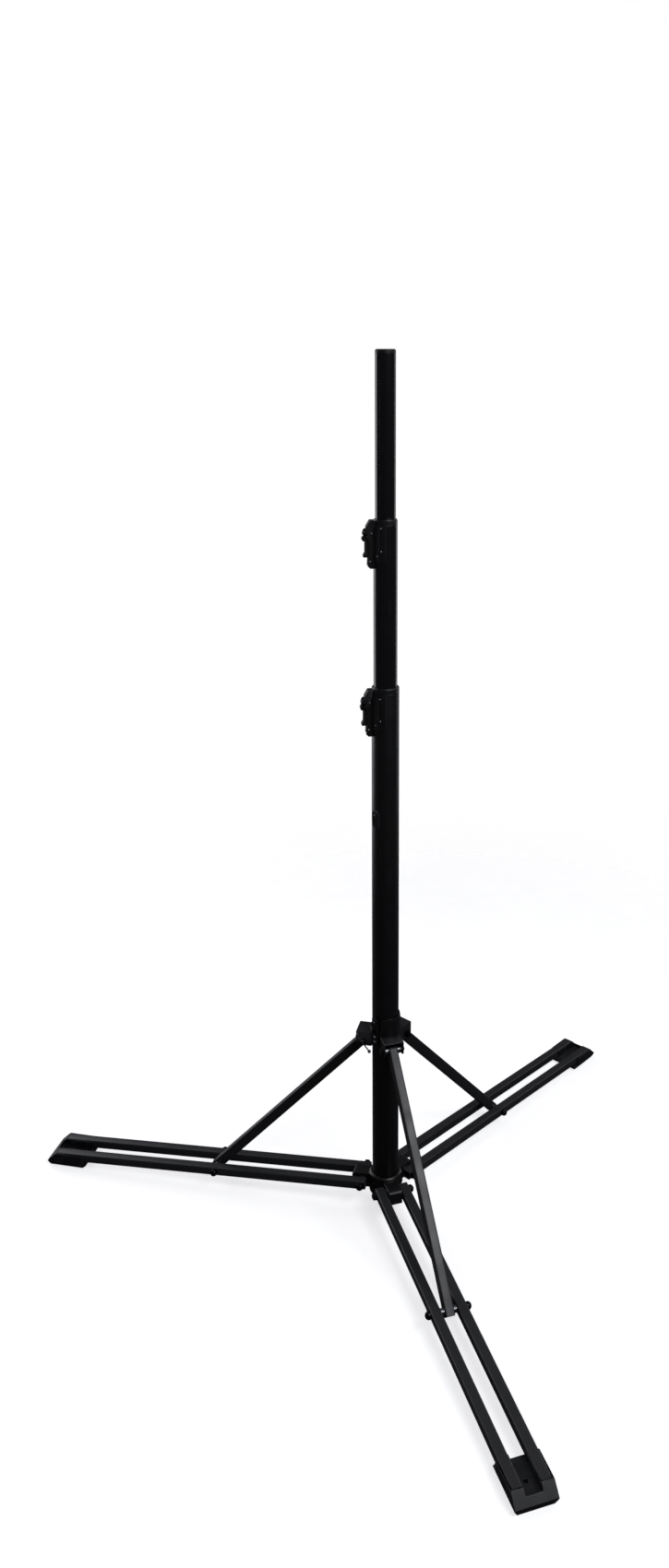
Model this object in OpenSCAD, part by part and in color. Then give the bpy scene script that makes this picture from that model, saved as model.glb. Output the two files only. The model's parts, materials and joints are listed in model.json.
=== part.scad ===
// Folding tripod stand for a loudspeaker or a lamp.
// Three round tubes telescope in each other. Two lever brakes hold them. Three twin-rail legs fold up
// against the mast, led by struts that hang from a sliding collar.
// The floor is z = 0 and the mast stands upright. The origin is under the middle of the bounding box.

/* [Mast tubes] */
// Outside diameter of the outer tube
outer_d = 48; // [44:1:52]
// Outside diameter of the middle tube
mid_d = 41; // [39:1:41]
// Outside diameter of the top tube, the pole that carries the load
top_d = 35; // [33:1:35]
// Wall of the outer and middle tubes
tube_wall = 2; // [1.6:0.1:2]
// Wall of the top tube
top_wall = 2.5; // [2:0.1:3]
// Height of the outer tube's top edge
outer_top_z = 988; // [940:1:1020]
// Height of the middle tube's top edge, as it is set now
mid_top_z = 1279; // [1240:1:1320]
// Overall height, as it is set now
stand_h = 1570; // [1500:1:1640]
// Length of the middle tube
mid_len = 900; // [860:1:900]
// Length of the top tube
top_len = 880; // [840:1:900]

/* [Legs] */
// Distance of a leg's hinge from the mast axis
hinge_r = 42; // [42:0.5:46]
// Height of a leg's hinge
hinge_z = 47; // [47:0.5:52]
// Fall of an open leg towards its foot, in degrees
leg_slope = 2.6; // [2:0.1:2.6]
// Length of a rail outside its hinge
rail_len = 605; // [560:1:606]
// Length of a rail inside its hinge
rail_back = 9.5; // [8:0.5:9.5]
// Width of a rail
rail_w = 17.3; // [16:0.1:18]
// Height of a rail
rail_h = 15.4; // [14:0.1:15.4]
// Wall of a rail
rail_wall = 1.5; // [1.2:0.1:2]
// Half the space between the two rails of a leg
rail_gap = 14; // [14:0.1:16]

/* [Struts] */
// Distance from a leg's hinge to its strut's lower bolt
strut_at = 283.3; // [260:0.1:290]
// Width of a strut
strut_w = 16; // [14:0.5:17]
// Depth of a strut
strut_t = 18; // [16:0.5:18]
// Distance of a strut's upper bolt from the mast axis
top_bolt_r = 39; // [39:0.5:42]
// Height of a strut's upper bolt
top_bolt_z = 331; // [320:1:340]

/* [Collar] */
// Outside diameter of the collar's sleeve
collar_d = 56; // [56:0.5:57]
// Height of the sleeve's lower edge
collar_z0 = 325; // [322:1:326]
// Height of the sleeve's upper edge
collar_z1 = 384; // [380:1:388]
// Width of a strut bracket
bracket_w = 36; // [34:0.5:38]

/* [Lever brakes] */
// Distance of a lever's pin from the mast axis, less the tube's radius
lever_out = 14.6; // [14.4:0.1:16]
// Half width of the channel that holds the lever
cheek_in = 7.5; // [7.5:0.1:9]
// Thickness of the channel's sheet
sheet = 2; // [1.6:0.1:2.4]

/* [Feet] */
// Distance of a foot's tip from the mast axis
foot_tip = 666; // [664:1:680]
// Half width of a foot above its sole
foot_half = 34; // [34:0.5:36]
// Half width of a foot where it meets the floor
sole_half = 29; // [27:0.5:31]

/* [Hidden] */
$fn = 48;

// Legs by number: 0 is the front leg, 1 the right one, 2 the left one
leg_az = [270, 30, 150];
// Direction of the fold catch and of the top tube's keyway, midway between two legs
key_az = 210;
// Direction of both levers
lever_az = 168;

outer_r = outer_d / 2;
mid_r = mid_d / 2;
top_r = top_d / 2;
collar_r = collar_d / 2;
outer_bottom_z = 22;
running_gap = 0.3;

rail_out = rail_gap + rail_w;
bolt_r = 4;
bolt_fit = 0.05;

// The bounding box runs from the front foot's tip to the outer corners of the other two feet
sole_h = 8;
flare_h = 9;
tip_h = 11;
mast_y = (foot_tip - foot_tip * sin(30) - foot_half * cos(30)) / 2;

// Lower strut bolt, in the leg's own plane
low_bolt_r = hinge_r + strut_at * cos(leg_slope);
low_bolt_z = hinge_z - strut_at * sin(leg_slope);
strut_len = norm([low_bolt_r - top_bolt_r, low_bolt_z - top_bolt_z]);
strut_lean = atan2(low_bolt_r - top_bolt_r, top_bolt_z - low_bolt_z);

steel = "#2a2b2e";
black = "#141517";
zinc = "#b9bcc0";
rubber = "#1a1b1d";
nylon = "#0f1012";

// ---------------------------------------------------------------- frames and small shapes

module on_mast() {
    translate([0, mast_y, 0]) children();
}

// +X runs out along leg i and +Y lies across it
module at_leg(i) {
    on_mast() rotate([0, 0, leg_az[i]]) children();
}

// The leg's own frame: its hinge is the origin and +X runs down the sloping rails
module on_leg(i) {
    at_leg(i) translate([hinge_r, 0, hinge_z]) rotate([0, leg_slope, 0]) children();
}

// The strut's own frame: its upper bolt is the origin and -Z runs down the strut
module on_strut(i) {
    at_leg(i) translate([top_bolt_r, 0, top_bolt_z]) rotate([0, -strut_lean, 0]) children();
}

module across(y0, y1, r) {
    translate([0, y0, 0]) rotate([-90, 0, 0]) cylinder(h = y1 - y0, r = r);
}

module ring(r_in, r_out, z0, z1) {
    translate([0, 0, z0]) difference() {
        cylinder(h = z1 - z0, r = r_out, $fn = 96);
        translate([0, 0, -1]) cylinder(h = z1 - z0 + 2, r = r_in, $fn = 96);
    }
}

// Domed screw head on the plane y = 0 that points to +Y
module dome(r, h) {
    ball_r = (r * r + h * h) / (2 * h);
    intersection() {
        translate([0, h - ball_r, 0]) sphere(r = ball_r);
        across(0, h + 1, r);
    }
}

// Hexagonal nut on the plane y = 0 that points to +Y
module hex_nut(r, h) {
    rotate([-90, 0, 0]) cylinder(h = h, r = r, $fn = 6);
}

// Sector of a pipe, half_angle each way from +X
module shell(r_in, r_out, z0, z1, from_a, to_a) {
    rotate([0, 0, from_a]) translate([0, 0, z0])
        rotate_extrude(angle = to_a - from_a, $fn = 96)
            translate([r_in, 0]) square([r_out - r_in, z1 - z0]);
}

// ---------------------------------------------------------------- mast

shoe_window_h = 24;
shoe_window_drop = 62;
// Heights that the two brakes hang from
lower_brake_z = outer_top_z + 6;
upper_brake_z = mid_top_z + 10;

module shoe_window(r, top_z) {
    translate([r - 5, -cheek_in + 0.5, top_z - shoe_window_drop])
        cube([10, 2 * cheek_in - 1, shoe_window_h]);
}

module outer_tube() {
    color(steel) on_mast() difference() {
        ring(outer_r - tube_wall, outer_r, outer_bottom_z, outer_top_z);
        rotate([0, 0, lever_az]) shoe_window(outer_r, lower_brake_z);
    }
}

module bottom_plug() {
    color(nylon) on_mast() {
        translate([0, 0, outer_bottom_z - 2]) cylinder(h = 2, r = outer_r, $fn = 96);
        translate([0, 0, outer_bottom_z - 4]) cylinder(h = 2, r1 = outer_r - 2, r2 = outer_r, $fn = 96);
        translate([0, 0, outer_bottom_z]) cylinder(h = 12, r = outer_r - tube_wall, $fn = 96);
    }
}

module mid_tube() {
    color(steel) on_mast() difference() {
        ring(mid_r - tube_wall, mid_r, mid_top_z - mid_len, mid_top_z);
        rotate([0, 0, lever_az]) shoe_window(mid_r, upper_brake_z);
    }
}

module mid_guide() {
    low = mid_top_z - mid_len;
    color(nylon) on_mast() {
        ring(mid_r, outer_r - tube_wall - running_gap, low, low + 40);
        ring(top_r - top_wall, outer_r - tube_wall - running_gap, low - 5, low);
    }
}

keyway_w = 4;
keyway_depth = 1.5;
pin_hole_z = 1370;
cap_h = 7;
// Fine ring that marks the set height, just above the upper bush
mark_z = mid_top_z + 12;

module top_tube() {
    high = stand_h - cap_h;
    color(steel) on_mast() difference() {
        ring(top_r - top_wall, top_r, high - top_len, high);
        ring(top_r - 0.4, top_r + 1, mark_z, mark_z + 1);
        rotate([0, 0, key_az]) {
            translate([top_r - keyway_depth, -keyway_w / 2, high - top_len - 1])
                cube([keyway_depth + 1, keyway_w, top_len + 2]);
            translate([top_r - top_wall - 1, 0, pin_hole_z]) rotate([0, 90, 0])
                cylinder(h = top_wall + 2, r = 2.5);
        }
    }
}

module top_guide() {
    low = stand_h - cap_h - top_len;
    color(nylon) on_mast() difference() {
        ring(top_r - top_wall, mid_r - tube_wall - running_gap, low - 30, low);
        translate([0, 0, low - 20]) cylinder(h = 10, r = top_r - 1, $fn = 96);
    }
}

module top_cap() {
    high = stand_h;
    color(nylon) on_mast() {
        translate([0, 0, high - cap_h]) cylinder(h = cap_h - 2, r = top_r, $fn = 96);
        translate([0, 0, high - 2]) cylinder(h = 2, r1 = top_r, r2 = top_r - 2, $fn = 96);
        translate([0, 0, high - cap_h - 14]) cylinder(h = 14, r = top_r - top_wall, $fn = 96);
    }
}

// ---------------------------------------------------------------- hub

hub_low = 28;
hub_high = 66;
hub_ring_r = 30;
tongue_half = 12.5;
tongue_end = 61;
tongue_low = 33;
tongue_high = 60;
cap_gap = 0.4;

module hub() {
    color(black) on_mast() difference() {
        union() {
            translate([0, 0, hub_low]) cylinder(h = hub_high - hub_low - 3, r = hub_ring_r, $fn = 96);
            translate([0, 0, hub_high - 3]) cylinder(h = 3, r1 = hub_ring_r, r2 = hub_ring_r - 3, $fn = 96);
            translate([0, 0, hub_low - 5]) cylinder(h = 5, r1 = hub_ring_r - 4, r2 = hub_ring_r, $fn = 96);
            for (az = leg_az) rotate([0, 0, az]) {
                translate([hub_ring_r - 8, -tongue_half, tongue_low])
                    cube([tongue_end - hub_ring_r + 2, 2 * tongue_half, tongue_high - tongue_low]);
                translate([tongue_end - 6, 0, tongue_low + 6]) across(-tongue_half, tongue_half, 6);
                translate([tongue_end - 6, 0, tongue_high - 6]) across(-tongue_half, tongue_half, 6);
                translate([tongue_end - 12, -tongue_half, tongue_low + 6])
                    cube([12, 2 * tongue_half, tongue_high - tongue_low - 12]);
            }
        }
        translate([0, 0, hub_low - 10]) cylinder(h = hub_high - hub_low + 20, r = outer_r, $fn = 96);
        for (az = leg_az) rotate([0, 0, az]) {
            translate([hinge_r, 0, hinge_z]) across(-tongue_half - 1, tongue_half + 1, bolt_r);
            rotate([0, 0, 60]) translate([outer_r - 2, 0, hinge_z]) rotate([0, 90, 0])
                cylinder(h = hub_ring_r, r = 3);
        }
    }
}

module hub_bolts() {
    color(zinc) for (i = [0:2]) at_leg(i) translate([hinge_r, 0, hinge_z]) {
        across(-rail_out - 8, rail_out + cap_gap, bolt_r);
        translate([0, rail_out + cap_gap, 0]) dome(7, 9);
    }
}

module hub_nuts() {
    color(zinc) for (i = [0:2]) at_leg(i) translate([hinge_r, -rail_out - cap_gap, hinge_z])
        mirror([0, 1, 0]) difference() {
            union() {
                across(0, 1.2, 7.5);
                translate([0, 1.2, 0]) hex_nut(7, 5);
            }
            across(-1, 9, bolt_r);
        }
}

module hub_washers() {
    color(zinc) for (i = [0:2], side = [-1, 1])
        at_leg(i) translate([hinge_r, 0, hinge_z]) scale([1, side, 1]) difference() {
            across(tongue_half, rail_gap - running_gap, 8);
            across(tongue_half - 1, rail_gap + 1, bolt_r);
        }
}

module hub_screws() {
    color(zinc) for (i = [0:2]) at_leg(i) rotate([0, 0, 60]) translate([outer_r, 0, hinge_z]) {
        rotate([0, 90, 0]) cylinder(h = hub_ring_r - outer_r, r = 3);
        translate([hub_ring_r - outer_r, 0, 0]) rotate([0, 0, -90]) dome(5, 2.5);
    }
}

// ---------------------------------------------------------------- lever brakes
// Each brake is drawn for a tube of radius r whose bush ends at z = 0. +X points out at the lever.

bush_h = 10;
bush_skirt = 28;
pin_drop = 24.5;
channel_h = 84;
lever_reach = 40.5;
barrel_r = 4.5;
pin_r = 2;
strap_angle = 87;
wrap = 1;

module brake_at(top_z) {
    on_mast() translate([0, 0, top_z]) rotate([0, 0, lever_az]) children();
}

// Nylon bush that lines the tube's mouth round the next tube
module bush(r, bore_r, wall) {
    bore = bore_r + running_gap;
    rotate_extrude($fn = 96) polygon([
        [bore, -bush_h - bush_skirt], [r - wall, -bush_h - bush_skirt], [r - wall, -bush_h], [r, -bush_h],
        [r, -2.5], [r - 1.2, -1], [bore + 1, 0], [bore, -0.8]
    ]);
}

// Outline of one cheek of the channel: x out from the mast axis, y up
function cheek_outline(r) = [
    [r - 4, -2], [r + 6.8, -2], [r + 13, -12.6], [r + 13, -16.4], [r + 16.9, -18.7], [r + 18, -22],
    [r + 18, -27], [r + 12, -32], [r + 9, -36], [r + 9, -59], [r + 10, -66], [r + 10.5, -80],
    [r + 6, -channel_h], [r - 4, -channel_h]
];

module cheek(r, y0) {
    translate([0, y0 + sheet, 0]) rotate([90, 0, 0]) linear_extrude(sheet) polygon(cheek_outline(r));
}

// Roof of the channel: it follows the cheeks' sloping upper edge
module channel_roof(r, half) {
    translate([0, half, 0]) rotate([90, 0, 0]) linear_extrude(2 * half) polygon([
        [r - 4, -2], [r + 6.8, -2], [r + 13, -12.6], [r + 13, -16.4], [r + 11, -16.4], [r + 11, -13.2],
        [r + 5.7, -4], [r - 4, -4]
    ]);
}

flange_from = 31;
flange_to = 53;
strap_slot = 56;
rivet_turn = 61;
// Heads sit this much proud of curved sheet, which they would touch along a line only
rivet_lift = 0.03;

// Thin strap round the tube. Its lower edge rises away from the channel.
module strap(r) {
    difference() {
        shell(r, r + wrap, -channel_h + 1, -bush_h, -strap_angle, strap_angle);
        for (side = [-1, 1]) scale([1, side, 1]) translate([-r, cheek_in + 1, 1 - channel_h])
            rotate([40, 0, 0]) translate([0, 0, -30]) cube([3 * r, 50, 30]);
        // slot beside each flange
        shell(r - 3, r + 5, -50, -bush_h - 8, strap_slot, strap_slot + 5);
        shell(r - 3, r + 5, -50, -bush_h - 8, -strap_slot - 5, -strap_slot);
        shoe_window(r, 0);
    }
}

module channel(r) {
    inner = cheek_in + sheet / 2;
    link_from = asin((cheek_in + 1) / r);
    difference() {
        union() {
            cheek(r, cheek_in);
            cheek(r, -cheek_in - sheet);
            channel_roof(r, inner);
            // the floor and the block that closes the foot of the channel
            translate([r - 4, -inner, 0.5 - channel_h]) cube([9, 2 * inner, 2]);
            translate([r - 4, -inner, -79]) cube([13.5, 2 * inner, 11]);
            shell(r - 1.5, r + wrap + 1.5, -channel_h + 14, -bush_h - 3, flange_from, flange_to);
            shell(r - 1.5, r + wrap + 1.5, -channel_h + 14, -bush_h - 3, -flange_to, -flange_from);
            shell(r - 1, r + 1.8, -channel_h + 15, -bush_h - 4, link_from, flange_from + 1);
            shell(r - 1, r + 1.8, -channel_h + 15, -bush_h - 4, -flange_from - 1, -link_from);
        }
        translate([0, 0, -channel_h - 5]) cylinder(h = channel_h + 10, r = r, $fn = 96);
        translate([r + lever_out, 0, -pin_drop]) across(-cheek_in - 5, cheek_in + 5, pin_r);
    }
    strap(r);
}

module channel_rivets(r) {
    for (side = [-1, 1]) scale([1, side, 1]) {
        for (drop = [15, 54]) rotate([0, 0, rivet_turn]) translate([r + wrap + rivet_lift, 0, -drop])
            rotate([0, 0, -90]) dome(2.2, 1.2);
        rotate([0, 0, flange_to - 9]) translate([r + wrap + 1.5 + rivet_lift, 0, -62])
            rotate([0, 0, -90]) dome(2.2, 1.2);
        translate([r + 4.5, cheek_in + sheet, -24]) dome(2.4, 1.4);
        translate([r + 6.5, cheek_in + sheet, -72]) dome(2.4, 1.4);
    }
}

module lever_pin(r) {
    translate([r + lever_out, 0, -pin_drop]) {
        across(-cheek_in - sheet - 1.2, cheek_in + sheet, pin_r);
        translate([0, cheek_in + sheet, 0]) dome(3.4, 1.8);
    }
}

// Over-centre lever: two barrels, a flat grip and a hooked finger tip
module lever(r) {
    half = cheek_in - 0.6;
    translate([r + lever_out, 0, -pin_drop]) difference() {
        union() {
            across(-half, half, barrel_r);
            translate([1.5, 0, -9]) across(-half, half, 4.2);
            translate([-5.2, -half, -lever_reach + 5]) cube([5.7, 2 * half, lever_reach - 9]);
            translate([-5.2, -half, -lever_reach]) cube([7.2, 2 * half, 7]);
            translate([1.6, 0, -lever_reach + 2.2]) across(-half, half, 2);
        }
        across(-half - 1, half + 1, pin_r + bolt_fit);
    }
}

// Brake shoe: its pad passes through the window and faces the inner tube
module shoe(r, inner_r) {
    half = cheek_in - 0.8;
    difference() {
        union() {
            translate([r + 1.5, -half, -shoe_window_drop + 1]) cube([7.5, 2 * half, 42]);
            translate([inner_r - 3, -half, -shoe_window_drop + 1])
                cube([r - inner_r + 6, 2 * half, shoe_window_h - 2]);
        }
        translate([0, 0, -shoe_window_drop - 1])
            cylinder(h = 60, r = inner_r + running_gap + 0.1, $fn = 96);
    }
}

module lower_bush() {
    color(nylon) brake_at(outer_top_z + bush_h) bush(outer_r, mid_r, tube_wall);
}

module lower_channel() {
    color(black) brake_at(lower_brake_z) channel(outer_r);
}

module lower_rivets() {
    color(zinc) brake_at(lower_brake_z) channel_rivets(outer_r);
}

module lower_pin() {
    color(zinc) brake_at(lower_brake_z) lever_pin(outer_r);
}

module lower_lever() {
    color(black) brake_at(lower_brake_z) lever(outer_r);
}

module lower_shoe() {
    color(nylon) brake_at(lower_brake_z) shoe(outer_r, mid_r);
}

module upper_bush() {
    color(nylon) brake_at(mid_top_z + bush_h) bush(mid_r, top_r, tube_wall);
}

module upper_channel() {
    color(black) brake_at(upper_brake_z) channel(mid_r);
}

module upper_rivets() {
    color(zinc) brake_at(upper_brake_z) channel_rivets(mid_r);
}

module upper_pin() {
    color(zinc) brake_at(upper_brake_z) lever_pin(mid_r);
}

module upper_lever() {
    color(black) brake_at(upper_brake_z) lever(mid_r);
}

module upper_shoe() {
    color(nylon) brake_at(upper_brake_z) shoe(mid_r, top_r);
}

// ---------------------------------------------------------------- fold catch

catch_low = 746;
catch_high = 775;
catch_out = 3.2;
catch_half = 8;

module fold_catch() {
    color(black) on_mast() rotate([0, 0, key_az]) difference() {
        translate([0, catch_half, 0]) rotate([90, 0, 0]) linear_extrude(2 * catch_half) polygon([
            [outer_r - 6, catch_low], [outer_r + 0.5, catch_low], [outer_r + catch_out, catch_high - 12],
            [outer_r + catch_out, catch_high], [outer_r - 6, catch_high]
        ]);
        translate([0, 0, catch_low - 1]) cylinder(h = catch_high - catch_low + 2, r = outer_r, $fn = 96);
    }
}

module catch_rivet() {
    color(zinc) on_mast() rotate([0, 0, key_az]) {
        translate([outer_r + catch_out, 0, catch_high - 6]) rotate([0, 0, -90]) dome(2.4, 0.9);
        translate([outer_r + 1.8, 0, catch_high + 1.3]) across(-5.5, 5.5, 1.3);
    }
}

// ---------------------------------------------------------------- collar

liner_wall = 1.6;
slot_half = 9.5;
slot_low = 333;
// The sleeve stands full height at the back and right, and stops above the left bracket here
low_rim_z = 359;
low_rim_from = 112;
low_rim_to = 234;

module catch_slot() {
    rotate([0, 0, key_az]) translate([outer_r - 6, -slot_half, slot_low])
        cube([20, 2 * slot_half, collar_z1 - slot_low + 1]);
}

module collar_sleeve() {
    bore = outer_r + running_gap + liner_wall;
    color(black) on_mast() difference() {
        union() {
            ring(bore, collar_r, collar_z0 + 2, collar_z1 - 12);
            ring(bore, collar_r - 0.8, collar_z0, collar_z0 + 2);
            translate([0, 0, collar_z1 - 12]) difference() {
                cylinder(h = 12, r1 = collar_r, r2 = bore + 0.6, $fn = 96);
                translate([0, 0, -1]) cylinder(h = 14, r = bore, $fn = 96);
            }
        }
        catch_slot();
        shell(outer_r, collar_r + 4, low_rim_z, collar_z1 + 1, low_rim_from, low_rim_to);
    }
}

module collar_liner() {
    color(nylon) on_mast() difference() {
        ring(outer_r + running_gap, outer_r + running_gap + liner_wall, collar_z0, collar_z1 - 1);
        catch_slot();
        shell(outer_r - 1, collar_r, low_rim_z - 1, collar_z1 + 1, low_rim_from, low_rim_to);
    }
}

leaf_t = 1.2;
leaf_top = 381;
leaf_screws = [338, 347, 376];

// Spring leaf that stands in front of the slot and snaps over the fold catch
module latch_leaf() {
    color(steel) on_mast() rotate([0, 0, key_az]) difference() {
        union() {
            shell(collar_r, collar_r + leaf_t, collar_z0 + 3, leaf_top, -13, 13);
            shell(collar_r + 0.6, collar_r + 2.8, leaf_top - 2.5, leaf_top + 2.5, -11, 11);
        }
        translate([outer_r, -4, 352]) cube([12, 8, 11]);
    }
}

module latch_screws() {
    color(zinc) on_mast() rotate([0, 0, key_az])
        for (z = leaf_screws) translate([collar_r + leaf_t + rivet_lift, 0, z])
            rotate([0, 0, -90]) dome(2.6, 1.8);
}

web_z = 351;
ear_drop = 26.5;
ear_r = 6.5;
bracket_out = 51;

// Inverted channel that takes a strut's upper end between its ears
module bracket(i) {
    half = bracket_w / 2;
    color(black) at_leg(i) difference() {
        union() {
            translate([collar_r - 6, -half, web_z - sheet]) cube([bracket_out - collar_r + 6, bracket_w, sheet]);
            for (y = [-half, half - sheet]) {
                translate([collar_r - 12, y, web_z - ear_drop + ear_r])
                    cube([bracket_out - collar_r + 12, sheet, ear_drop - ear_r]);
                translate([collar_r - 12, y, web_z - ear_drop])
                    cube([bracket_out - collar_r + 12 - ear_r, sheet, ear_drop]);
                translate([bracket_out - ear_r, 0, web_z - ear_drop + ear_r]) across(y, y + sheet, ear_r);
            }
        }
        translate([0, 0, web_z - ear_drop - 1]) cylinder(h = ear_drop + 2, r = collar_r, $fn = 96);
        translate([top_bolt_r, 0, top_bolt_z]) across(-half - 1, half + 1, bolt_r);
    }
}

module bracket_bolts() {
    half = bracket_w / 2;
    color(zinc) for (i = [0:2]) at_leg(i) translate([top_bolt_r, 0, top_bolt_z]) {
        across(-half - 6, half, bolt_r);
        translate([0, half, 0]) dome(5.5, 5);
    }
}

module bracket_nuts() {
    color(zinc) for (i = [0:2]) at_leg(i) translate([top_bolt_r, -bracket_w / 2, top_bolt_z])
        mirror([0, 1, 0]) difference() {
            hex_nut(6.5, 4.5);
            across(-1, 8, bolt_r);
        }
}

module bracket_spacers() {
    color(zinc) for (i = [0:2], side = [-1, 1])
        at_leg(i) translate([top_bolt_r, 0, top_bolt_z]) scale([1, side, 1]) difference() {
            across(strut_w / 2 + running_gap, bracket_w / 2 - sheet, 6.5);
            across(strut_w / 2 - 1, bracket_w / 2 + 1, bolt_r);
        }
}

// Thin lock rod with a ball end, hinged on the left bracket's ear
rod_r = 1.2;
rod_hinge_r = 47;
rod_hinge_z = 346;
rod_side = bracket_w / 2 + 6.6;
rod_reach = 36;
rod_lean = 38;

module lock_rod() {
    color(zinc) at_leg(2) translate([rod_hinge_r, rod_side, rod_hinge_z]) rotate([0, rod_lean, 0]) {
        across(bracket_w / 2 - rod_side, 1.6, 3);
        translate([0, 0, -rod_reach]) cylinder(h = rod_reach, r = rod_r);
        translate([0, 0, -rod_reach]) sphere(r = 3.2);
    }
}

// ---------------------------------------------------------------- legs

module rail(i, side) {
    color(steel) on_leg(i) scale([1, side, 1]) difference() {
        translate([-rail_back, rail_gap, -rail_h / 2]) cube([rail_len + rail_back, rail_w, rail_h]);
        translate([-rail_back - 1, rail_gap + rail_wall, -rail_h / 2 + rail_wall])
            cube([rail_len + rail_back + 2, rail_w - 2 * rail_wall, rail_h - 2 * rail_wall]);
        across(rail_gap - 1, rail_out + 1, bolt_r + bolt_fit);
        translate([strut_at, 0, 0]) across(rail_gap - 1, rail_out + 1, bolt_r);
    }
}

foot_heel = 587;
plate_end = 593;
cap_start = 648;
foot_screw_r = 627;

// Side view of a foot: x out from the mast axis, y up
function foot_outline(top_z) = [
    [foot_heel, sole_h], [foot_heel + sole_h, 0], [foot_tip - 4, 0], [foot_tip, tip_h],
    [cap_start + 2, top_z - 1], [cap_start - 1, top_z], [foot_heel, top_z]
];

module foot(i) {
    top_z = hinge_z + rail_h / 2 - (cap_start - hinge_r) * tan(leg_slope);
    floor_z = 12;
    color(rubber) difference() {
        intersection() {
            at_leg(i) translate([0, foot_half, 0]) rotate([90, 0, 0])
                linear_extrude(2 * foot_half) polygon(foot_outline(top_z));
            at_leg(i) translate([foot_heel, 0, 0]) rotate([90, 0, 90]) linear_extrude(100) polygon([
                [-sole_half, 0], [sole_half, 0], [foot_half, flare_h], [foot_half, top_z],
                [-foot_half, top_z], [-foot_half, flare_h]
            ]);
        }
        // room for the rails and the open top above them
        on_leg(i) for (side = [-1, 1]) scale([1, side, 1])
            translate([400, rail_gap, -rail_h / 2]) cube([rail_len - 400, rail_w, rail_h + 10]);
        // the middle of the shoe is a low plate with a raised block at the tip
        at_leg(i) {
            translate([500, -rail_gap + 1.2, floor_z])
                cube([cap_start + 7 - 500, 2 * rail_gap - 2.4, 40]);
            translate([600, -rail_gap + 1.2, 20]) cube([100, 2 * rail_gap - 2.4, 40]);
            translate([500, -50, floor_z]) cube([plate_end - 500, 100, 40]);
            // the side walls start behind the heel and stay below the rail's top
            for (side = [-1, 1]) scale([1, side, 1]) translate([500, rail_out, flare_h])
                cube([plate_end + 5 - 500, 10, 40]);
            translate([foot_screw_r, 0, -1]) cylinder(h = 30, r = 3.2);
            translate([foot_screw_r, 0, -1]) cylinder(h = 6, r = 6.2);
        }
    }
}

module foot_screw(i) {
    color(zinc) at_leg(i) translate([foot_screw_r, 0, 0]) {
        translate([0, 0, 2]) cylinder(h = 3, r = 6);
        translate([0, 0, 5]) cylinder(h = 5, r = 3.2);
    }
}

// Outer ends of the bolt that carries the strut between the rails
module leg_bolt(i) {
    color(zinc) on_leg(i) translate([strut_at, 0, 0]) for (side = [-1, 1]) scale([1, side, 1]) {
        across(rail_gap, rail_out, bolt_r);
        translate([0, rail_out, 0]) dome(6.5, 9);
    }
}

// ---------------------------------------------------------------- struts

strut_tail = 9;

module strut(i) {
    wall = 1.5;
    color(steel) on_strut(i) difference() {
        union() {
            translate([-strut_t / 2, -strut_w / 2, -strut_len - strut_tail])
                cube([strut_t, strut_w, strut_len + strut_tail]);
            across(-strut_w / 2, strut_w / 2, strut_t / 2);
        }
        translate([-strut_t / 2 + wall, -strut_w / 2 + wall, -strut_len - strut_tail - 1])
            cube([strut_t - 2 * wall, strut_w - 2 * wall, strut_len + strut_tail - 12]);
        across(-strut_w / 2 - 1, strut_w / 2 + 1, bolt_r + bolt_fit);
    }
}

// Spacers that keep a strut's lower end midway between the rails
module strut_bushes(i) {
    color(zinc) on_strut(i) translate([0, 0, -strut_len]) for (side = [-1, 1]) scale([1, side, 1])
        across(strut_w / 2, rail_gap - running_gap, 6);
}

outer_tube();
bottom_plug();
hub();
hub_bolts();
hub_nuts();
hub_washers();
hub_screws();
lower_bush();
lower_channel();
lower_rivets();
lower_pin();
lower_lever();
lower_shoe();
fold_catch();
catch_rivet();
mid_tube();
mid_guide();
upper_bush();
upper_channel();
upper_rivets();
upper_pin();
upper_lever();
upper_shoe();
top_tube();
top_guide();
top_cap();
collar_sleeve();
collar_liner();
latch_leaf();
latch_screws();
bracket(0);  // front_bracket
bracket(1);  // right_bracket
bracket(2);  // left_bracket
bracket_bolts();
bracket_nuts();
bracket_spacers();
lock_rod();
rail(0, 1);  // front_rail_a
rail(0, -1);  // front_rail_b
foot(0);  // front_foot
foot_screw(0);  // front_foot_screw
leg_bolt(0);  // front_leg_bolt
rail(1, 1);  // right_rail_a
rail(1, -1);  // right_rail_b
foot(1);  // right_foot
foot_screw(1);  // right_foot_screw
leg_bolt(1);  // right_leg_bolt
rail(2, 1);  // left_rail_a
rail(2, -1);  // left_rail_b
foot(2);  // left_foot
foot_screw(2);  // left_foot_screw
leg_bolt(2);  // left_leg_bolt
strut(0);  // front_strut
strut(1);  // right_strut
strut(2);  // left_strut
strut_bushes(0);  // front_strut_bushes
strut_bushes(1);  // right_strut_bushes
strut_bushes(2);  // left_strut_bushes
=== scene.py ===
# %% [markdown]
# # A folding tripod stand
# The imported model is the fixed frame: every hinge, tube and bolt already has its true place and size.
# This lesson gives it soft edges, rolled tube lips, round-cornered tubing and finishes that look like
# the real coatings.

# %% Load the frame
import json
import math

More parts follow.
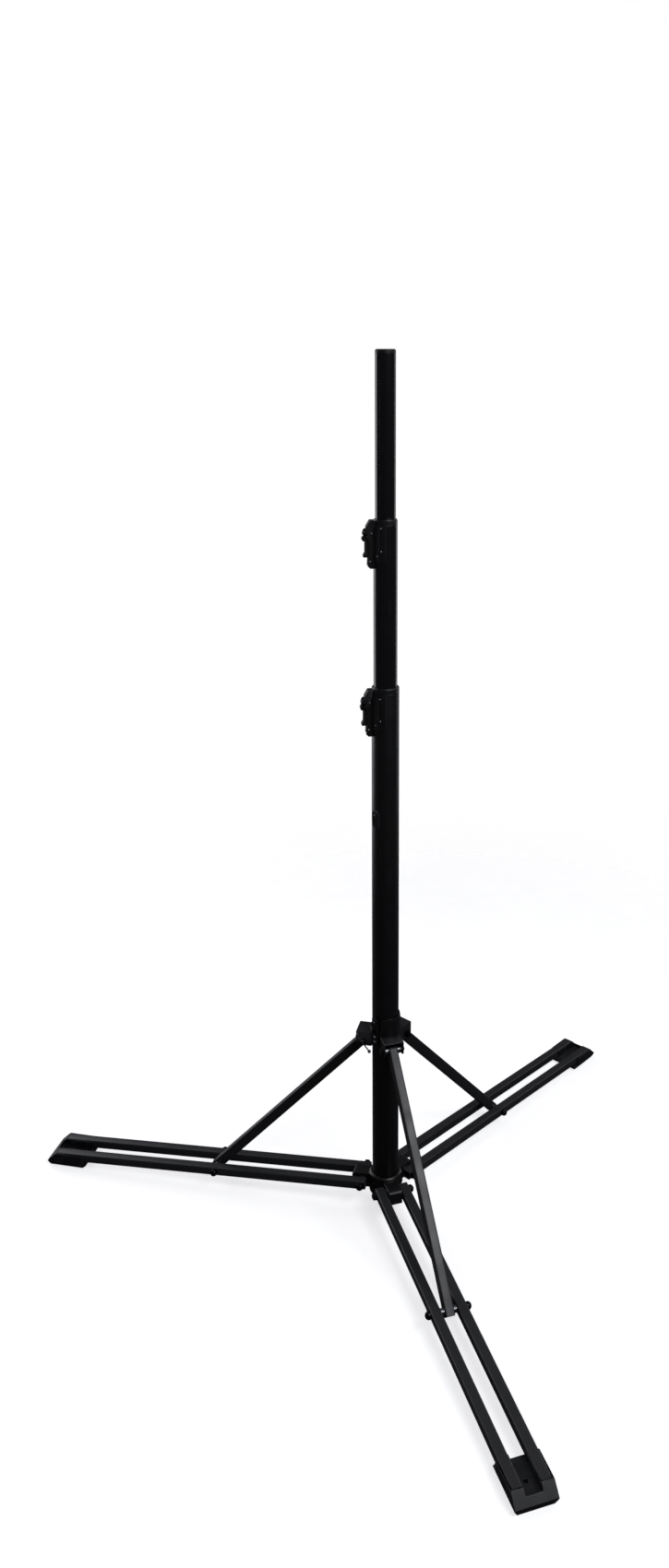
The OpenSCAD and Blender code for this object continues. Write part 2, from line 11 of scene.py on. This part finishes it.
import bmesh
import bpy
import numpy as np
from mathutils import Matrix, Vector


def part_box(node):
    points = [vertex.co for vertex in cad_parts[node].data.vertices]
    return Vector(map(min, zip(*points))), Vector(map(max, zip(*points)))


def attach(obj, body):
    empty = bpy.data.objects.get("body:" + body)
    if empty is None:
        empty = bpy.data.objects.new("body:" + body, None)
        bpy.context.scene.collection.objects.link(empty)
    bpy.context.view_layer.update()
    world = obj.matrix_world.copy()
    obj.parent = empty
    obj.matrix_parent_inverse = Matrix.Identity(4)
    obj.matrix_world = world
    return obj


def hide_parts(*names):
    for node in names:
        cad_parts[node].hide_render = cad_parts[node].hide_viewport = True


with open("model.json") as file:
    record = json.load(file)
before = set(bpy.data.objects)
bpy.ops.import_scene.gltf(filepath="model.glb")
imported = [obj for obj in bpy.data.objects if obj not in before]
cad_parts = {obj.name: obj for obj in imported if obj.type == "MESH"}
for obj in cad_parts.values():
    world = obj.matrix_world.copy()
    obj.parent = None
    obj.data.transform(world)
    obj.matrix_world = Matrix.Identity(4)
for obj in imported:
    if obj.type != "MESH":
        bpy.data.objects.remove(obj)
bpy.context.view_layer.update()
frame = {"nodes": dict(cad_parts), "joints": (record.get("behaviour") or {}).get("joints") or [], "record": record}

NODES = frame["nodes"]
BODY_OF = {n: b for b, members in frame["record"]["behaviour"]["bodies"].items() for n in members}
SLOT_OF = {s["node"]: s["material_slot"] for s in frame["record"]["subparts"]}
MM = 0.001

# %% [markdown]
# ## Where things are
# Every leg has its own frame: +X runs out along the leg and +Y lies across it. The hinge points come
# from the record's joints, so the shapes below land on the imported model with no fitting.


# %% Frames of the legs and struts
def turn_z(degrees):
    """Rotation about the upright axis: (x, y) goes to (x cos a - y sin a, x sin a + y cos a)."""
    a = math.radians(degrees)
    return np.array([[math.cos(a), -math.sin(a), 0], [math.sin(a), math.cos(a), 0], [0, 0, 1]])


def turn_y(degrees):
    """Rotation about +Y: a positive angle turns +X down towards -Z."""
    a = math.radians(degrees)
    return np.array([[math.cos(a), 0, math.sin(a)], [0, 1, 0], [-math.sin(a), 0, math.cos(a)]])


JOINTS = {j["name"]: j for j in frame["joints"]}
LEG_AZ = {"front": 270, "right": 30, "left": 150}
LEG_SLOPE = 2.6  # degrees
STRUT_AT = 283.3 * MM  # from the leg's hinge out to its strut bolt
low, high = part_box("top_tube")
MAST = np.array([(low.x + high.x) / 2, (low.y + high.y) / 2, 0.0])
print("mast axis at", MAST.round(4).tolist())


def leg_frame(leg):
    """Origin and rotation of a leg: the hinge on the hub, and +X running down the sloping rails."""
    return np.array(JOINTS[leg + "_leg_fold"]["pos_m"]), turn_z(LEG_AZ[leg]) @ turn_y(LEG_SLOPE)


def strut_frame(leg):
    """Origin and rotation of a strut: its upper bolt, and -Z running down to the bolt between the rails."""
    top = np.array(JOINTS[leg + "_strut_swing"]["pos_m"])
    hinge, turn = leg_frame(leg)
    run = turn_z(LEG_AZ[leg]).T @ (hinge + turn @ np.array([STRUT_AT, 0, 0]) - top)
    lean = math.degrees(math.atan2(run[0], -run[2]))
    return top, turn_z(LEG_AZ[leg]) @ turn_y(-lean), math.hypot(run[0], run[2])


print("strut length", round(strut_frame("front")[2], 4))

# %% [markdown]
# ## Surfaces from arrays
# Most pieces here are tubes. A tube is one closed profile carried round an axis, or one closed loop
# carried along a line, so two small functions make them all. Both return a grid of points, and one
# function turns a grid into a mesh.


# %% A grid of points becomes a mesh
def grid_mesh(name, grids, material, place=(np.zeros(3), np.eye(3))):
    """Join grids of points into one mesh. Row i, column j of a grid touches row i+1 and column j+1.
    Columns always close on themselves. Rows close too when closed is true, or each end gets one face."""
    origin, turn = place
    points, faces, start = [], [], 0
    for grid, closed in grids:
        rows, cols = grid.shape[:2]
        index = np.arange(rows * cols).reshape(rows, cols) + start
        after = np.roll(index, -1, axis=0) if closed else index[1:]
        here = index if closed else index[:-1]
        quads = np.stack([here, np.roll(here, -1, 1), np.roll(after, -1, 1), after], axis=-1).reshape(-1, 4)
        faces += quads.tolist()
        if not closed:
            faces += [index[0][::-1].tolist(), index[-1].tolist()]
        points.append(grid.reshape(-1, 3) @ turn.T + origin)
        start += rows * cols
    mesh = bpy.data.meshes.new(name)
    mesh.from_pydata(np.concatenate(points).tolist(), [], faces)
    tidy = bmesh.new()
    tidy.from_mesh(mesh)
    bmesh.ops.remove_doubles(tidy, verts=tidy.verts, dist=1e-6)
    bmesh.ops.recalc_face_normals(tidy, faces=tidy.faces)
    tidy.to_mesh(mesh)
    tidy.free()
    mesh.materials.append(material)
    mesh.shade_smooth()
    mesh.set_sharp_from_angle(angle=math.radians(40))
    piece = bpy.data.objects.new(name, mesh)
    bpy.context.scene.collection.objects.link(piece)
    return piece


def stand_in(piece, *nodes):
    """The piece rides on its node's body and stands for the nodes it replaces, which it hides."""
    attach(piece, BODY_OF[nodes[0]])
    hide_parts(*nodes)


# %% Two ways to carry a profile
def turned(profile, steps=96):
    """Surface of revolution about +Z: the profile point (r, h) goes to (r cos t, r sin t, h)."""
    r, h = np.array(profile, float).T
    t = np.linspace(0, 2 * math.pi, steps, endpoint=False)
    return np.stack([np.outer(r, np.cos(t)), np.outer(r, np.sin(t)), np.outer(h, np.ones(steps))], axis=-1)


def round_box(width, height, corner, steps=6):
    """Closed loop of a rectangle with round corners: each corner is a quarter circle about its own centre."""
    turns = np.linspace(0, math.pi / 2, steps)
    centres = [(1, 1, 0), (-1, 1, 1), (-1, -1, 2), (1, -1, 3)]
    loops = [np.stack([sx * (width / 2 - corner) + corner * np.cos(turns + q * math.pi / 2),
                       sy * (height / 2 - corner) + corner * np.sin(turns + q * math.pi / 2)], axis=-1)
             for sx, sy, q in centres]
    return np.concatenate(loops)


def lip(r_out, r_in, z, up, roll):
    """Profile of a tube's rim from the outer wall over to the inner one, with rolled corners."""
    s = 1 if up else -1
    a = np.linspace(0, math.pi / 2, 5)
    outer = np.stack([r_out - roll + roll * np.cos(a), z + s * (roll * np.sin(a) - roll)], axis=-1)
    inner = np.stack([r_in + roll - roll * np.sin(a), z + s * (roll * np.cos(a) - roll)], axis=-1)
    return np.concatenate([outer, inner])


# %% [markdown]
# ## Colour and nodes
# Hex colours are what a colour chart gives, but shaders work in linear light, so one function turns the
# one into the other. One more adds any shader node, sets its values and makes its links.


# %% Two helpers for materials
def linear(code):
    """sRGB to linear: divide by 12.92 near black, else ((c + 0.055) / 1.055) to the power 2.4."""
    c = np.array([int(code[i:i + 2], 16) for i in (1, 3, 5)]) / 255
    return (*np.where(c <= 0.04045, c / 12.92, ((c + 0.055) / 1.055) ** 2.4).tolist(), 1.0)


def add(tree, kind, sockets=None, **settings):
    """Add a node. settings are its own properties. A socket is linked if it is given a socket, else set."""
    node = tree.nodes.new(kind)
    for key, value in settings.items():
        setattr(node, key, value)
    for key, value in (sockets or {}).items():
        if isinstance(value, bpy.types.NodeSocket):
            tree.links.new(value, node.inputs[key])
        else:
            node.inputs[key].default_value = value
    return node


# %% [markdown]
# ## Painted steel
# The stand is steel tube with a black powder coat: a resin dust, sprayed on and baked. It flows into a
# skin with a faint orange-peel ripple, and it dulls where hands and clamps rub it. The same recipe, with
# other grain and gloss, serves the mast, the pole, the legs and the rougher coat on the fittings.


# %% A powder coat
# Pale grey of worn coat for the scuffs; on edges it is also a painted highlight.
WORN_COAT_AND_EDGE_SHEEN = "#5b5c60"


def powder_coat(name, dark, pale, roughness, grain_mm, ripple_mm, edge, scuff_mm=(0.5, 0.5, 40)):
    """Black resin coat. Colour drifts between two shades over 45 mm, ripples stand ripple_mm high on
    grain_mm cells, long thin scuffs catch the light, and edges are painted up to edge of the way to pale
    grey: partly wear, partly a painted highlight standing in for the line of light along each edge."""
    mat = bpy.data.materials.new(name)
    mat.use_nodes = True
    tree = mat.node_tree
    tree.nodes.clear()
    place = add(tree, "ShaderNodeTexCoord").outputs["Object"]
    drift = add(tree, "ShaderNodeTexNoise", {"Vector": place, "Scale": 1 / 0.045, "Detail": 4.0})
    grain = add(tree, "ShaderNodeTexNoise", {"Vector": place, "Scale": 1000 / grain_mm, "Detail": 2.0})
    along = add(tree, "ShaderNodeMapping", {"Vector": place, "Scale": tuple(1000 / s for s in scuff_mm)})
    lines = add(tree, "ShaderNodeTexNoise", {"Vector": along.outputs[0], "Scale": 1.0, "Detail": 3.0})
    patch = add(tree, "ShaderNodeTexNoise", {"Vector": place, "Scale": 1 / 0.12, "Detail": 1.0})
    scuffs = add(tree, "ShaderNodeMapRange", {"Value": lines.outputs["Fac"],
                                              "From Min": 0.63, "From Max": 0.75})
    where = add(tree, "ShaderNodeMapRange", {"Value": patch.outputs["Fac"],
                                             "From Min": 0.48, "From Max": 0.62})
    rubbed = add(tree, "ShaderNodeMath", {0: scuffs.outputs[0], 1: where.outputs[0]}, operation="MULTIPLY")
    # Paler edges from Pointiness: partly wear, partly a painted highlight for the line of light along rounded
    # edges.
    corner = add(tree, "ShaderNodeNewGeometry").outputs["Pointiness"]
    edge_wear_and_sheen = add(tree, "ShaderNodeMapRange", {"Value": corner, "From Min": 0.52, "From Max": 0.6,
                                            "To Max": edge})
    wear_and_edge_sheen = add(tree, "ShaderNodeMath", {0: rubbed.outputs[0], 1: 0.35, 2: edge_wear_and_sheen.outputs[0]},
               operation="MULTIPLY_ADD", use_clamp=True)
    shade = add(tree, "ShaderNodeMix", {0: drift.outputs["Fac"], 6: linear(dark), 7: linear(pale)},
                data_type="RGBA")
    tint = add(tree, "ShaderNodeMix", {0: wear_and_edge_sheen.outputs[0], 6: shade.outputs[2], 7: linear(WORN_COAT_AND_EDGE_SHEEN)},
               data_type="RGBA")
    gloss = add(tree, "ShaderNodeMapRange", {"Value": drift.outputs["Fac"], "From Min": 0.3, "From Max": 0.7,
                                             "To Min": roughness - 0.05, "To Max": roughness + 0.06})
    dull = add(tree, "ShaderNodeMath", {0: rubbed.outputs[0], 1: 0.12, 2: gloss.outputs[0]},
               operation="MULTIPLY_ADD")
    bump = add(tree, "ShaderNodeBump", {"Height": grain.outputs["Fac"], "Strength": 1.0,
                                        "Distance": ripple_mm * MM})
    coat = add(tree, "ShaderNodeBsdfPrincipled", {"Base Color": tint.outputs[2], "Roughness": dull.outputs[0],
                                                  "Normal": bump.outputs[0], "IOR": 1.5})
    add(tree, "ShaderNodeOutputMaterial", {"Surface": coat.outputs[0]})
    return mat


MAST_COAT = powder_coat("satin black powder coat", "#08080a", "#0e0e10", 0.4, 1.6, 0.02, 0.0)
POLE_COAT = powder_coat("semi-gloss black powder coat", "#09090c", "#101015", 0.2, 2.2, 0.015, 0.0)
# Leg and fitting coats get painted paler edges (0.35, 0.4): partly wear, partly a painted highlight.
LEG_COAT = powder_coat("satin black coat on leg tube", "#0c0c0c", "#141413", 0.36, 1.4, 0.02, 0.35,
                       (0.6, 0.6, 0.6))
FITTING_COAT = powder_coat("fine textured black powder coat", "#0b0b0c", "#121213", 0.36, 0.7, 0.035, 0.4,
                           (0.6, 0.6, 6))
print("powder coats", [m.name for m in (MAST_COAT, POLE_COAT, LEG_COAT, FITTING_COAT)])

# %% [markdown]
# ## Bare fixings
# Washers and rivets are steel with a dulled zinc plate: crystals a millimetre across tilt a little each
# way, so the shine breaks into a soft spangle. Bolts, foot screws and lever pins have black oxide
# instead, a thin dark skin that still shines like metal.


# %% Zinc plate and black oxide
def plated(name, dark, pale, roughness, crystal_mm):
    """Plated steel. Voronoi cells crystal_mm across give each crystal its own shade and gloss, and fine
    noise of 0.15 mm roughens all of it."""
    mat = bpy.data.materials.new(name)
    mat.use_nodes = True
    tree = mat.node_tree
    tree.nodes.clear()
    place = add(tree, "ShaderNodeTexCoord").outputs["Object"]
    crystals = add(tree, "ShaderNodeTexVoronoi", {"Vector": place, "Scale": 1000 / crystal_mm})
    each = add(tree, "ShaderNodeSeparateColor", {"Color": crystals.outputs["Color"]})
    fine = add(tree, "ShaderNodeTexNoise", {"Vector": place, "Scale": 1000 / 0.15, "Detail": 3.0})
    shade = add(tree, "ShaderNodeMix", {0: each.outputs[0], 6: linear(dark), 7: linear(pale)},
                data_type="RGBA")
    gloss = add(tree, "ShaderNodeMapRange", {"Value": each.outputs[1], "To Min": roughness - 0.05,
                                             "To Max": roughness + 0.09})
    bump = add(tree, "ShaderNodeBump", {"Height": fine.outputs["Fac"], "Distance": 0.012 * MM})
    metal = add(tree, "ShaderNodeBsdfPrincipled", {"Base Color": shade.outputs[2], "Metallic": 1.0,
                                                   "Roughness": gloss.outputs[0], "Normal": bump.outputs[0]})
    add(tree, "ShaderNodeOutputMaterial", {"Surface": metal.outputs[0]})
    return mat


ZINC = plated("dulled zinc plate", "#6d6f72", "#97999c", 0.3, 1.2)
BLACK_OXIDE = plated("black oxide steel", "#1c1d1f", "#2a2b2e", 0.28, 2.0)

# %% [markdown]
# ## Nylon and rubber
# The bushes, cap and collar lining are moulded nylon, with the fine spark-eroded grain of the mould. The
# feet are moulded rubber: softer, greyer and duller, with a film of floor dust that gathers in patches.


# %% Moulded plastics
DUST = "#6b6a68"


def moulded(name, dark, pale, roughness, pit_mm, depth_mm, dust):
    """Moulded surface: pits of pit_mm, depth_mm deep, and dust that greys patches about 18 mm across."""
    mat = bpy.data.materials.new(name)
    mat.use_nodes = True
    tree = mat.node_tree
    tree.nodes.clear()
    place = add(tree, "ShaderNodeTexCoord").outputs["Object"]
    pits = add(tree, "ShaderNodeTexVoronoi", {"Vector": place, "Scale": 1000 / pit_mm})
    cloud = add(tree, "ShaderNodeTexNoise", {"Vector": place, "Scale": 1 / 0.018, "Detail": 5.0})
    shade = add(tree, "ShaderNodeMix", {0: cloud.outputs["Fac"], 6: linear(dark), 7: linear(pale)},
                data_type="RGBA")
    film = add(tree, "ShaderNodeMapRange", {"Value": cloud.outputs["Fac"], "From Min": 0.5, "From Max": 0.75,
                                            "To Max": dust})
    dusty = add(tree, "ShaderNodeMix", {0: film.outputs[0], 6: shade.outputs[2], 7: linear(DUST)},
                data_type="RGBA")
    gloss = add(tree, "ShaderNodeMapRange", {"Value": cloud.outputs["Fac"], "From Min": 0.3, "From Max": 0.7,
                                             "To Min": roughness - 0.06, "To Max": roughness + 0.08})
    bump = add(tree, "ShaderNodeBump", {"Height": pits.outputs["Distance"], "Distance": depth_mm * MM})
    skin = add(tree, "ShaderNodeBsdfPrincipled", {"Base Color": dusty.outputs[2], "IOR": 1.52,
                                                  "Roughness": gloss.outputs[0], "Normal": bump.outputs[0]})
    add(tree, "ShaderNodeOutputMaterial", {"Surface": skin.outputs[0]})
    return mat


NYLON = moulded("moulded black nylon", "#0d0e10", "#15161a", 0.4, 0.8, 0.02, 0.04)
RUBBER = moulded("moulded black rubber", "#0e0f11", "#17191c", 0.46, 1.0, 0.03, 0.12)
FINISH = {"mast_paint": MAST_COAT, "pole_paint": POLE_COAT, "fitting_paint": FITTING_COAT,
          "leg_paint": LEG_COAT, "zinc_steel": ZINC, "black_steel": BLACK_OXIDE, "black_nylon": NYLON,
          "foot_rubber": RUBBER}
OWN_FINISH = {n: BLACK_OXIDE for n in NODES if "foot_screw" in n or n.endswith("_pin")}
OWN_FINISH["mid_tube"] = POLE_COAT
for name, node in NODES.items():
    node.data.materials.clear()
    node.data.materials.append(OWN_FINISH.get(name, FINISH[SLOT_OF[name]]))
print("finishes", len(FINISH))

# %% [markdown]
# ## The three mast tubes
# Drawn steel tube with its rims deburred. The wall is one closed profile, up the outside, over a rolled
# lip, down the inside and back, turned about the mast. The outer tube's shoe window lies hidden behind
# the brake channel, so the turned wall can pass over it.


# %% Turn the outer and the middle tube
WALL, ROLL = 2.0 * MM, 0.6 * MM


def tube_wall(node):
    """Closed profile of a tube as tall and as wide as its CAD node."""
    low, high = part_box(node)
    r = (high.x - low.x) / 2
    inner = r - WALL
    top = lip(r, inner, high.z, True, ROLL)
    foot = lip(r, inner, low.z, False, ROLL)[::-1]
    return turned(np.concatenate([top, foot]))


for node in ("outer_tube", "mid_tube"):
    coat = NODES[node].data.materials[0]
    piece = grid_mesh(node + "_wall", [(tube_wall(node), True)], coat, (MAST, np.eye(3)))
    stand_in(piece, node)
    print(node, "faces", len(piece.data.polygons))

# %% [markdown]
# ## Cast, pressed and bent fittings
# The hub, the brake channels, the levers, the brackets and the feet have true shapes in the CAD, but
# their corners are knife sharp, which no real part is. A merged copy gets its flat faces joined up and
# a small bevel. That keeps every hole and step, and each edge gains the thin line of light it should have.


# %% Soften a copy of a CAD node
SHARP = math.radians(32)


def softened(node, radius_mm):
    """Copy of a node with doubles merged, flat faces dissolved and edges sharper than SHARP rounded."""
    mesh = NODES[node].data.copy()
    work = bmesh.new()
    work.from_mesh(mesh)
    bmesh.ops.remove_doubles(work, verts=work.verts, dist=2e-6)
    bmesh.ops.dissolve_limit(work, angle_limit=math.radians(0.5), verts=work.verts, edges=work.edges)
    bmesh.ops.recalc_face_normals(work, faces=work.faces)
    work.to_mesh(mesh)
    work.free()
    mesh.name = node + "_shape"
    mesh.shade_smooth()
    piece = bpy.data.objects.new(node + "_shape", mesh)
    bpy.context.scene.collection.objects.link(piece)
    edge = piece.modifiers.new("edge", "BEVEL")
    edge.width = radius_mm * MM
    edge.segments = 3
    edge.limit_method = "ANGLE"
    edge.angle_limit = SHARP
    edge.use_clamp_overlap = False
    edge.miter_outer = "MITER_ARC"
    flat = piece.modifiers.new("flat", "WEIGHTED_NORMAL")
    flat.keep_sharp = True
    stand_in(piece, node)


EDGE_MM = {"hub": 1.0, "lower_channel": 0.5, "upper_channel": 0.5, "lower_lever": 0.6, "upper_lever": 0.6,
           "fold_catch": 0.8, "latch_leaf": 0.25, "collar_sleeve": 0.6, "collar_liner": 0.3, "top_tube": 0.3,
           "front_bracket": 0.6, "right_bracket": 0.6, "left_bracket": 0.6, "hub_nuts": 0.4,
           "bracket_nuts": 0.4, "hub_washers": 0.25, "bracket_spacers": 0.4, "top_cap": 0.6,
           "front_strut_bushes": 0.4, "right_strut_bushes": 0.4, "left_strut_bushes": 0.4,
           "front_foot": 1.2, "right_foot": 1.2, "left_foot": 1.2, "hub_bolts": 0.3, "bracket_bolts": 0.3,
           "front_leg_bolt": 0.3, "right_leg_bolt": 0.3, "left_leg_bolt": 0.3}
for node, radius in EDGE_MM.items():
    softened(node, radius)
print("softened", len(EDGE_MM))

# %% [markdown]
# ## Rails and struts
# Both are rectangular steel tube, and such tube is rolled from strip, so its corners are round. One
# round-cornered loop runs along the tube, turns in over the cut end and comes back along the inside.

# %% Roll the six rails
RAIL_BACK, RAIL_LEN, RAIL_GAP = 9.5 * MM, 605 * MM, 14 * MM
RAIL_W, RAIL_H, RAIL_WALL, CORNER = 17.3 * MM, 15.4 * MM, 1.5 * MM, 2.0 * MM
DEBURR = 0.3 * MM


def tube_run(width, height, x0, x1):
    """Closed surface of a rectangular tube along +X: rings run out along the outside and back inside."""
    outside = round_box(width, height, CORNER)
    eased = round_box(width - 2 * DEBURR, height - 2 * DEBURR, CORNER - DEBURR)
    inside = round_box(width - 2 * RAIL_WALL, height - 2 * RAIL_WALL, CORNER - RAIL_WALL)
    rings = [(outside, x0 + DEBURR), (outside, x1 - DEBURR), (eased, x1),
             (inside, x1), (inside, x0), (eased, x0)]
    return np.stack([np.column_stack([np.full(len(loop), x), loop]) for loop, x in rings])


for leg in LEG_AZ:
    for side, letter in ((1, "a"), (-1, "b")):
        run = tube_run(RAIL_W, RAIL_H, -RAIL_BACK, RAIL_LEN)
        run[..., 1] += side * (RAIL_GAP + RAIL_W / 2)
        node = f"{leg}_rail_{letter}"
        stand_in(grid_mesh(node + "_tube", [(run, True)], LEG_COAT, leg_frame(leg)), node)
print("rails", RAIL_LEN + RAIL_BACK, "long")

# %% Roll the three struts
STRUT_W, STRUT_T, STRUT_TAIL, STRUT_PLUG = 16 * MM, 18 * MM, 9 * MM, 13 * MM


def strut_run(length):
    """Strut down -Z from its upper bolt. Its depth follows a half circle at the top, x = r cos a and
    z = r sin a, and the inside runs back up to a plug under the bolt."""
    a = np.radians([88, 75, 60, 45, 30, 15, 0])
    rings = [(round_box(STRUT_T * math.cos(t), STRUT_W, min(CORNER, STRUT_T * math.cos(t) / 2.2)),
              STRUT_T / 2 * math.sin(t)) for t in a]
    full = round_box(STRUT_T, STRUT_W, CORNER)
    eased = round_box(STRUT_T - 2 * DEBURR, STRUT_W - 2 * DEBURR, CORNER - DEBURR)
    inside = round_box(STRUT_T - 2 * RAIL_WALL, STRUT_W - 2 * RAIL_WALL, CORNER - RAIL_WALL)
    foot = -length - STRUT_TAIL
    rings += [(full, foot + DEBURR), (eased, foot), (inside, foot), (inside, -STRUT_PLUG)]
    return np.stack([np.column_stack([loop, np.full(len(loop), z)]) for loop, z in rings])


for leg in LEG_AZ:
    origin, turn, length = strut_frame(leg)
    stand_in(grid_mesh(leg + "_strut_tube", [(strut_run(length), False)], LEG_COAT, (origin, turn)),
             leg + "_strut")
print("struts", round(length, 4), "between bolts")

# %% [markdown]
# ## The studio
# A pale floor that melts into a white room, a key light high on the camera's right, a faint light over the
# back, and two tall soft lights behind the stand. Black paint shows mostly what it reflects, so the room
# and floor are white to the camera alone and dim to every other ray. The tall lights draw the bright lines
# down the edges of the tubes.

# %% Floor and room
FLOOR_R, FLOOR_DEEP, PINHOLE = 4.0, 0.01, 1e-4
FLOOR_LIFT = 0.8  # light that comes through the paper, so that the floor is as pale as the room
FLOOR_GREY, ROOM_GREY = "#545456", (0.06, 0.06, 0.066, 1)  # what all rays but the camera's meet
floor_grid = turned([(PINHOLE, 0), (0.5, 0), (1.5, 0), (2.5, 0), (FLOOR_R, 0),
                     (FLOOR_R, -FLOOR_DEEP), (PINHOLE, -FLOOR_DEEP)])
white = bpy.data.materials.new("pale studio floor")
white.use_nodes = True
tree = white.node_tree
tree.nodes.clear()
place = add(tree, "ShaderNodeTexCoord").outputs["Object"]
far = add(tree, "ShaderNodeVectorMath", {0: place}, operation="LENGTH")
fade = add(tree, "ShaderNodeMapRange", {"Value": far.outputs["Value"], "From Min": 0.9, "From Max": 2.2},
           interpolation_type="SMOOTHSTEP")
cloud = add(tree, "ShaderNodeTexNoise", {"Vector": place, "Scale": 3.0, "Detail": 4.0})
paper = add(tree, "ShaderNodeMix", {0: cloud.outputs["Fac"], 6: linear("#f2f2f3"), 7: linear("#ededee")},
            data_type="RGBA")
seen = add(tree, "ShaderNodeLightPath").outputs["Is Camera Ray"]
flagged = add(tree, "ShaderNodeMix", {0: seen, 6: linear(FLOOR_GREY), 7: paper.outputs[2]}, data_type="RGBA")
matt = add(tree, "ShaderNodeBsdfDiffuse", {"Color": flagged.outputs[2]})
lift = add(tree, "ShaderNodeMath", {0: seen, 1: FLOOR_LIFT}, operation="MULTIPLY")
lit = add(tree, "ShaderNodeEmission", {"Color": paper.outputs[2], "Strength": lift.outputs[0]})
sheet = add(tree, "ShaderNodeAddShader", {0: matt.outputs[0], 1: lit.outputs[0]})
clear = add(tree, "ShaderNodeBsdfTransparent")
blend = add(tree, "ShaderNodeMixShader", {0: fade.outputs[0], 1: sheet.outputs[0], 2: clear.outputs[0]})
add(tree, "ShaderNodeOutputMaterial", {"Surface": blend.outputs[0]})
floor = grid_mesh("studio_floor", [(floor_grid, True)], white)

world = bpy.data.worlds.new("soft room")
bpy.context.scene.world = world
world.use_nodes = True
tree = world.node_tree
tree.nodes.clear()
seen = add(tree, "ShaderNodeLightPath").outputs["Is Camera Ray"]
room = add(tree, "ShaderNodeMix", {0: seen, 6: ROOM_GREY, 7: (1, 1, 1, 1)}, data_type="RGBA")
air = add(tree, "ShaderNodeBackground", {"Color": room.outputs[2], "Strength": 1.0})
add(tree, "ShaderNodeOutputWorld", {"Surface": air.outputs[0]})
bpy.context.scene.view_settings.view_transform = "Standard"


# %% Soft lights
COOL = (0.94, 0.95, 1.0)
VIEW_AZ = 251.7  # azimuth of the camera, in degrees from +X


def soft_light(name, azimuth, distance, height, size, power, aim=0.7):
    """Area light at an azimuth round the mast, in degrees from +X, that faces the mast at the height aim."""
    a = math.radians(azimuth)
    lamp = bpy.data.lights.new(name, "AREA")
    lamp.shape, lamp.size, lamp.size_y, lamp.energy = "RECTANGLE", size[0], size[1], power
    lamp.color = COOL
    light = bpy.data.objects.new(name, lamp)
    at = np.array([MAST[0] + distance * math.cos(a), MAST[1] + distance * math.sin(a), height])
    light.location = at
    light.rotation_euler = (Vector((MAST[0], MAST[1], aim)) - Vector(at)).to_track_quat("-Z", "Y").to_euler()
    bpy.context.scene.collection.objects.link(light)


soft_light("key", VIEW_AZ + 41, 2.3, 2.8, (1.5, 1.1), 38, 0.3)
soft_light("top", VIEW_AZ + 180, 0.9, 3.2, (2.2, 1.6), 4, 0.2)
soft_light("tall left", VIEW_AZ - 128, 2.2, 1.1, (1.5, 2.4), 20)
soft_light("tall right", VIEW_AZ + 132, 2.4, 1.1, (0.5, 2.4), 8)

# %% [markdown]
# ## The camera
# A camera at head height, two metres away, tipped a little down. The lens is long enough to keep the
# mast upright, and a small shift frames the stand under the space where its load would be.

# %% Place the camera
CAMERA_TURN, CAMERA_TIP = -18.32, 0.186  # degrees round the mast, radians down
CAMERA_SIDE, CAMERA_BACK, CAMERA_HIGH = 0.0004, 2.0843, 1.590
LENS_MM, SENSOR_MM, SHIFT_X, SHIFT_Y = 28.716, 36.0, -0.0326, -0.1353
data = bpy.data.cameras.new("camera")
data.lens, data.sensor_width, data.sensor_fit = LENS_MM, SENSOR_MM, "AUTO"
data.shift_x, data.shift_y = SHIFT_X, SHIFT_Y
data.clip_start = 0.05
camera = bpy.data.objects.new("camera", data)
camera.location = MAST + turn_z(CAMERA_TURN) @ np.array([CAMERA_SIDE, -CAMERA_BACK, CAMERA_HIGH])
camera.rotation_euler = (math.pi / 2 - CAMERA_TIP, 0, math.radians(CAMERA_TURN))
bpy.context.scene.collection.objects.link(camera)
bpy.context.scene.camera = camera
print("camera at", [round(v, 3) for v in camera.location])
